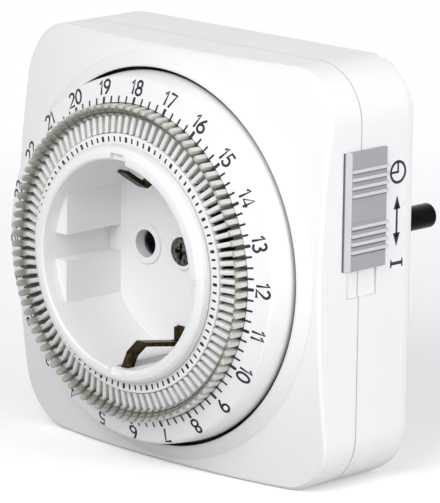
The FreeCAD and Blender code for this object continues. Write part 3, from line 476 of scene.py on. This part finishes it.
def printed_bar(name, width, length):
    """A printed stroke with eased corners, lying flat round the origin."""
    bpy.ops.mesh.primitive_cube_add(size=1.0)
    bar = bpy.context.object
    bar.name = name
    bar.scale = (width * MM, length * MM, INK_DEEP * 2 * MM)
    settle(bar)
    bpy.ops.object.mode_set(mode="EDIT")
    pick(bar, lambda a, b: abs(a.z - b.z) > INK_DEEP * MM, "EDGE")
    bpy.ops.mesh.bevel(offset=width * 0.3 * MM, segments=2, affect="EDGES")
    bpy.ops.object.mode_set(mode="OBJECT")
    return bar


def dial_marks(name, width, length, radius, y, slope, places):
    stroke = printed_bar(name, width, length)
    strokes = []
    for place in places:
        twin = copy_of(stroke)
        strokes.append(settle(twin, clock_place(place, radius, y, slope)))
    bpy.data.objects.remove(stroke)
    marks = join(name, strokes)
    paint(marks, dial_ink)
    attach(marks, "dial")
    return marks


def arc(x, y, across, tall, start, end, steps=12):
    """Points on an ellipse round (x, y), from one bearing in degrees to another."""
    points = []
    for i in range(steps + 1):
        angle = math.radians(start + (end - start) * i / steps)
        points.append((x + across * math.cos(angle), y + tall * math.sin(angle)))
    return points


# Each figure's width and strokes, in shares of its height, drawn from its lower left corner
FIGURES = {
    "0": (0.58, [arc(0.29, 0.5, 0.25, 0.46, 90, 450, 20)]),
    "1": (0.30, [[(0.02, 0.72), (0.20, 0.955), (0.20, 0.04)]]),
    "2": (0.56, [arc(0.28, 0.71, 0.225, 0.25, 165, -38) + [(0.05, 0.045), (0.53, 0.045)]]),
    "3": (0.56, [arc(0.26, 0.735, 0.20, 0.225, 150, -90), arc(0.26, 0.275, 0.235, 0.235, 90, -150)]),
    "4": (0.62, [[(0.44, 0.04), (0.44, 0.955), (0.05, 0.27), (0.58, 0.27)]]),
    "5": (0.56, [[(0.50, 0.955), (0.15, 0.955), (0.10, 0.54)] + arc(0.25, 0.31, 0.245, 0.265, 112, -150)]),
    "6": (0.58, [arc(0.29, 0.29, 0.245, 0.25, 180, 540, 18),
                 [(0.045, 0.31), (0.09, 0.50), (0.20, 0.72), (0.38, 0.955)]]),
    "7": (0.54, [[(0.04, 0.955), (0.50, 0.955), (0.17, 0.04)]]),
    "8": (0.58, [arc(0.29, 0.735, 0.195, 0.22, 90, 450, 16), arc(0.29, 0.28, 0.24, 0.24, 90, 450, 18)]),
    "9": (0.58, [arc(0.29, 0.71, 0.245, 0.25, 0, 360, 18),
                 [(0.535, 0.69), (0.49, 0.50), (0.38, 0.28), (0.20, 0.045)]]),
}


def figure(text):
    """A printed number, centred on the origin and lying flat."""
    width = sum(FIGURES[digit][0] for digit in text) + FIGURE_GAP * (len(text) - 1)
    data = bpy.data.curves.new("figure", "CURVE")
    data.dimensions = "3D"
    data.bevel_depth = FIGURE_STROKE * MM
    data.bevel_resolution = 1
    data.use_fill_caps = True
    left = -width / 2
    for digit in text:
        advance, strokes = FIGURES[digit]
        for stroke in strokes:
            line = data.splines.new("POLY")
            line.points.add(len(stroke) - 1)
            for point, (x, y) in zip(line.points, stroke):
                across = (left + x) * FIGURE_HEIGHT * FIGURE_NARROW
                point.co = (across * MM, (y - 0.5) * FIGURE_HEIGHT * MM, 0, 1)
        left += advance + FIGURE_GAP
    piece = bpy.data.objects.new("figure", data)
    bpy.context.scene.collection.objects.link(piece)
    only(piece)
    bpy.ops.object.convert(target="MESH")
    piece = bpy.context.object
    piece.scale = (1, 1, INK_DEEP / FIGURE_STROKE)
    return settle(piece)


def dial_figures():
    figures = []
    for hour in range(1, HOURS + 1):
        place = clock_place(hour, FIGURE_R, cone_y(FIGURE_R), CONE_SLOPE)
        figures.append(settle(figure(str(hour)), place))
    whole = join("dial_figures", figures)
    paint(whole, dial_ink)
    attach(whole, "dial")
    return whole


def finger():
    """One finger, along +X from the axis: a round-fronted bar, then a stepped grip that stands proud."""
    bar_in, bar_out = 24.32, 27.4
    bar_wide, grip_wide = 0.92, 1.22
    bpy.ops.mesh.primitive_cube_add(size=1.0)
    piece = bpy.context.object
    piece.name = "finger"
    piece.scale = ((bar_out - bar_in) * MM, 1.6 * MM, bar_wide * MM)
    piece.location = ((bar_in + bar_out) / 2 * MM, 3.75 * MM, 0)
    settle(piece)
    bpy.ops.object.mode_set(mode="EDIT")
    pick(piece, lambda co: co.y < 3.5 * MM and co.x < 26 * MM, "VERT")
    bpy.ops.transform.translate(value=(0, -0.4 * MM, 0))
    pick(piece, lambda co: co.y < 3.5 * MM and co.x > 26 * MM, "VERT")
    bpy.ops.transform.translate(value=(0, 0.35 * MM, 0))
    reach = bar_out
    steps = ((0.50, -0.62, grip_wide / bar_wide), (0.10, 0.30, 1.0), (0.48, -0.90, 1.0), (0.10, 0.30, 1.0),
             (0.48, -0.90, 0.97), (0.54, 0.10, 0.72))
    for run, rise, widen in steps:
        pick(piece, lambda centre, normal: centre.x > (reach - 0.01) * MM and normal.x > 0.8)
        bpy.ops.mesh.extrude_region_move(TRANSFORM_OT_translate={"value": (run * MM, 0, 0)})
        reach += run
        pick(piece, lambda co: co.x > (reach - 0.01) * MM, "VERT")
        bpy.ops.transform.resize(value=(1, 1, widen))
        pick(piece, lambda co: co.x > (reach - 0.01) * MM and co.y < 4.4 * MM, "VERT")
        bpy.ops.transform.translate(value=(0, rise * MM, 0))
    pick(piece, lambda a, b: max(a.x, b.x) < (bar_out + 0.05) * MM and max(a.y, b.y) < 3.6 * MM
         and abs(a.z - b.z) < 0.01 * MM, "EDGE")
    bpy.ops.mesh.bevel(offset=0.30 * MM, segments=3, affect="EDGES")
    pick(piece, lambda a, b: min(a.x, b.x) > (bar_out + 0.3) * MM and max(a.y, b.y) < 3.5 * MM
         and abs(a.z - b.z) < 0.2 * MM and min(a.z * b.z, 0) == 0 and abs(a.x - b.x) > 0.05 * MM, "EDGE")
    bpy.ops.mesh.bevel(offset=0.2 * MM, segments=2, affect="EDGES")
    bpy.ops.object.mode_set(mode="OBJECT")
    return join("finger", [piece, finger_blade()])


def finger_blade():
    """The flat blade behind a finger, which slides through the slot in the channel's floor."""
    blade_in, blade_out = 24.8, 29.3
    front, back = 4.2, 9.4
    bpy.ops.mesh.primitive_cube_add(size=1.0)
    blade = bpy.context.object
    blade.scale = ((blade_out - blade_in) * MM, (back - front) * MM, 0.8 * MM)
    blade.location = ((blade_in + blade_out) / 2 * MM, (front + back) / 2 * MM, 0)
    settle(blade)
    bpy.ops.object.mode_set(mode="EDIT")
    pick(blade, lambda a, b: min(a.y, b.y) > (back - 0.1) * MM, "EDGE")
    bpy.ops.mesh.bevel(offset=0.15 * MM, segments=1, affect="EDGES")
    bpy.ops.object.mode_set(mode="OBJECT")
    return blade


def fingers():
    """Four fingers to the hour, in place of the plain solids."""
    pattern = finger()
    pattern_mesh = pattern.data
    for hour in range(1, HOURS + 1):
        group = []
        for place in range(FINGERS_PER_HOUR):
            twin = copy_of(pattern)
            angle = math.radians(180.0 + HOUR_STEP * hour + QUARTER_STEP * (place + 0.5))
            turn = Matrix.Translation(spot(0, 0, 0)) @ Matrix.Rotation(-angle, 4, "Y")
            group.append(settle(twin, turn))
        whole = join("fingers_h%02d" % hour, group)
        paint(whole, finishes["tappet_natural"])
        node = "tappets_h%02d" % hour
        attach(whole, node)
        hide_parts(node)
    bpy.data.objects.remove(pattern)
    bpy.data.meshes.remove(pattern_mesh)


def stand_in(node, name):
    """A copy of a solid, to be reshaped and shown in its place."""
    piece = copy_of(frame["nodes"][node])
    piece.name = name
    paint(piece, finishes[slot_of[node]])
    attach(piece, body_of[node])
    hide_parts(node)
    only(piece)
    return piece


def depth_of(co):
    """A point's distance behind the rim's front, in millimetres."""
    return co.y / MM - FRONT_Y


def front_moulding():
    """The front shell, its back edge a hair short of the rear shell, which draws the seam."""
    piece = stand_in("front_shell", "front_moulding")
    paint(piece, front_plastic())
    bpy.ops.object.mode_set(mode="EDIT")
    pick(piece, lambda co: abs(depth_of(co) - SEAM_Y) < 0.001, "VERT")
    bpy.ops.transform.translate(value=(0, -SEAM_GAP * MM, 0))
    bpy.ops.object.mode_set(mode="OBJECT")


def rim_lip():
    """The lip that stands over the well's bore from the top notch round to the step on the right."""
    inner, outer, front, back = 18.95, 21.2, -0.16, 1.1
    start, end = 2.0, 83.0
    bpy.ops.mesh.primitive_plane_add(size=1.0)
    lip = bpy.context.object
    lip.name = "rim_lip"
    lip.scale = ((outer - inner) * MM, (back - front) * MM, 1.0)
    lip.location = ((inner + outer) / 2 * MM, (front + back) / 2 * MM, 0)
    settle(lip)
    bpy.ops.object.mode_set(mode="EDIT")
    pick(lip, lambda co: co.x < (inner + 0.1) * MM or co.y < 0, "VERT")
    bpy.ops.mesh.bevel(offset=0.42 * MM, segments=3, affect="VERTICES")
    bpy.ops.mesh.select_all(action="SELECT")
    bpy.ops.mesh.spin(steps=36, angle=math.radians(end - start), center=(0, 0, 0), axis=(0, 1, 0))
    bpy.ops.mesh.select_all(action="SELECT")
    bpy.ops.mesh.normals_make_consistent(inside=False)
    bpy.ops.object.mode_set(mode="OBJECT")
    bpy.ops.object.shade_smooth_by_angle(angle=math.radians(35))
    upward = sum(corner.co.z for corner in lip.data.vertices) > 0
    turn = Matrix.Rotation(-math.radians(start if upward else end), 4, "Y")
    settle(lip, Matrix.Translation(spot(0, 0, 0)) @ turn)
    paint(lip, finishes["well_white"])
    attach(lip, "housing")


def earth_clips():
    """The earth strap, its upper clip sprung further into the well than the lower one."""
    piece = stand_in("earth_bracket", "earth_clips")
    bpy.ops.object.mode_set(mode="EDIT")
    for (y, z), shift in CLIP_SHIFTS:
        pick(piece, lambda co: math.hypot(depth_of(co) - y, co.z / MM - AXIS_Z - z) < CLIP_REACH, "VERT")
        bpy.ops.transform.translate(value=(0, shift[0] * MM, shift[1] * MM))
    bpy.ops.object.mode_set(mode="OBJECT")


def side_place(y, z):
    """Place on the housing's right side: X runs back, Y up and Z off the surface."""
    turn = Matrix(((0, 1, 0), (0, 0, 1), (1, 0, 0))).transposed().to_4x4()
    return Matrix.Translation(spot(SIDE_X, y, z)) @ turn


def side_symbols():
    """The clock, the double arrow and the stroke that say what the slider does."""
    # ring of the clock
    bpy.ops.mesh.primitive_cylinder_add(vertices=40, radius=2.2 * MM, depth=INK_DEEP * 2 * MM)
    ring = bpy.context.object
    bpy.ops.object.mode_set(mode="EDIT")
    pick(ring, lambda centre, normal: abs(normal.z) > 0.9)
    bpy.ops.mesh.inset(thickness=0.52 * MM)
    bpy.ops.mesh.bridge_edge_loops()
    bpy.ops.object.mode_set(mode="OBJECT")
    settle(ring, side_place(33.0, 19.1))
    parts = [ring]

    def stroke(width, length, y, z, lying=False):
        bar = printed_bar("stroke", width, length)
        place = side_place(y, z)
        if lying:
            place = place @ Matrix.Rotation(math.radians(90), 4, "Z")
        parts.append(settle(bar, place))

    stroke(0.44, 2.3, 33.0, 20.05)
    stroke(0.44, 2.1, 32.1, 19.1, True)
    # double arrow
    stroke(0.50, 6.2, 32.9, 10.0)
    for z, way in ((13.05, 0), (6.95, 180)):
        bpy.ops.mesh.primitive_cylinder_add(vertices=3, radius=1.12 * MM, depth=INK_DEEP * 2 * MM)
        head = bpy.context.object
        head.scale = (0.95, 1.5, 1.0)
        settle(head)
        bpy.ops.object.mode_set(mode="EDIT")
        pick(head, lambda a, b: abs(a.z - b.z) > INK_DEEP * MM, "EDGE")
        bpy.ops.mesh.bevel(offset=0.08 * MM, segments=2, affect="EDGES")
        bpy.ops.object.mode_set(mode="OBJECT")
        place = side_place(32.9, z) @ Matrix.Rotation(math.radians(way), 4, "Z")
        parts.append(settle(head, place))
    # stroke with serifs, lying on its side
    stroke(0.62, 3.3, 33.05, 2.1, True)
    for y in (31.55, 34.55):
        stroke(0.32, 1.55, y, 2.1)
    whole = join("side_symbols", parts)
    paint(whole, side_ink)
    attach(whole, "housing")


# Stage

def is_ray(tree, *kinds):
    """Factor that is 1 for light paths of the given kinds."""
    path = add(tree, "ShaderNodeLightPath")
    rays = [path.outputs[kind] for kind in kinds]
    factor = rays[0]
    for ray in rays[1:]:
        factor = calc(tree, "MAXIMUM", factor, ray)
    return factor


def mix_shaders(tree, factor, first, second, output):
    mix = add(tree, "ShaderNodeMixShader")
    tree.links.new(factor, mix.inputs["Fac"])
    tree.links.new(first, mix.inputs[1])
    tree.links.new(second, mix.inputs[2])
    tree.links.new(mix.outputs["Shader"], output.inputs["Surface"])


def surroundings():
    """A white room that lights the object evenly."""
    world = bpy.data.worlds.new("studio")
    bpy.context.scene.world = world
    world.use_nodes = True
    tree = world.node_tree
    ambient = tree.nodes["Background"]
    ambient.inputs["Color"].default_value = (0.97, 0.98, 1.0, 1)
    ambient.inputs["Strength"].default_value = AMBIENT
    paper = add(tree, "ShaderNodeBackground")
    paper.inputs["Color"].default_value = (1, 1, 1, 1)
    paper.inputs["Strength"].default_value = 1.0
    seen = is_ray(tree, "Is Camera Ray", "Is Glossy Ray", "Is Transmission Ray")
    mix_shaders(tree, seen, ambient.outputs[0], paper.outputs[0], tree.nodes["World Output"])


def floor_paper():
    """Pale paper that keeps the object's shadow and goes white further out."""
    made, tree, main = shader("paper_floor")
    main.inputs["Roughness"].default_value = 0.9
    seen = is_ray(tree, "Is Camera Ray")
    tree.links.new(blend(tree, seen, (0.55, 0.55, 0.555), (0.92, 0.92, 0.925)), main.inputs["Base Color"])
    place = add(tree, "ShaderNodeTexCoord")
    reach = add(tree, "ShaderNodeVectorMath", operation="LENGTH")
    tree.links.new(place.outputs["Object"], reach.inputs[0])
    far = spread(tree, reach.outputs["Value"], 0.0, 1.0, 0.08, 0.30)
    seen = is_ray(tree, "Is Camera Ray", "Is Glossy Ray")
    paper = add(tree, "ShaderNodeEmission")
    paper.inputs["Color"].default_value = (1, 1, 1, 1)
    glow = add(tree, "ShaderNodeEmission")
    tree.links.new(calc(tree, "MULTIPLY", seen, FLOOR_LIFT), glow.inputs["Strength"])
    near = add(tree, "ShaderNodeAddShader")
    tree.links.new(main.outputs["BSDF"], near.inputs[0])
    tree.links.new(glow.outputs["Emission"], near.inputs[1])
    output = tree.nodes["Material Output"]
    mix_shaders(tree, product(tree, far, seen), near.outputs["Shader"], paper.outputs["Emission"], output)
    return made


def floor():
    bpy.ops.mesh.primitive_circle_add(vertices=96, radius=6.0, fill_type="NGON")
    piece = bpy.context.object
    piece.name = "floor"
    paint(piece, floor_paper())


def lamps():
    for name, direction, distance, size, power in LAMPS:
        data = bpy.data.lights.new(name, "AREA")
        data.shape = "SQUARE"
        data.size = size
        data.energy = power
        lamp = bpy.data.objects.new(name, data)
        bpy.context.scene.collection.objects.link(lamp)
        toward = Vector(direction).normalized()
        lamp.location = LAMP_AIM + toward * distance
        lamp.rotation_euler = toward.to_track_quat("Z", "Y").to_euler()


bpy.context.scene.view_settings.view_transform = "Standard"
camera()
surroundings()
floor()
lamps()

slot_of = {row["node"]: row["material_slot"] for row in frame["record"]["subparts"]}
body_of = {node: body for body, nodes in frame["record"]["behaviour"]["bodies"].items() for node in nodes}
for name, node in frame["nodes"].items():
    paint(node, finishes[slot_of[name]])

quarter_places = [h + q / 4 for h in range(HOURS) for q in range(1, 4)]
outer_y = cone_y(OUTER_MARKS_R)
dial_marks("inner_hour_marks", 0.60, 1.05, INNER_MARKS_R, RING_Y, 0.0, range(HOURS))
dial_marks("inner_quarter_marks", 0.38, 1.0, INNER_MARKS_R, RING_Y, 0.0, quarter_places)
dial_marks("outer_hour_marks", 0.60, 1.3, OUTER_MARKS_R, outer_y, CONE_SLOPE, range(HOURS))
dial_marks("outer_quarter_marks", 0.38, 1.3, OUTER_MARKS_R, outer_y, CONE_SLOPE, quarter_places)
dial_figures()
fingers()
front_moulding()
rim_lip()
earth_clips()
side_symbols()
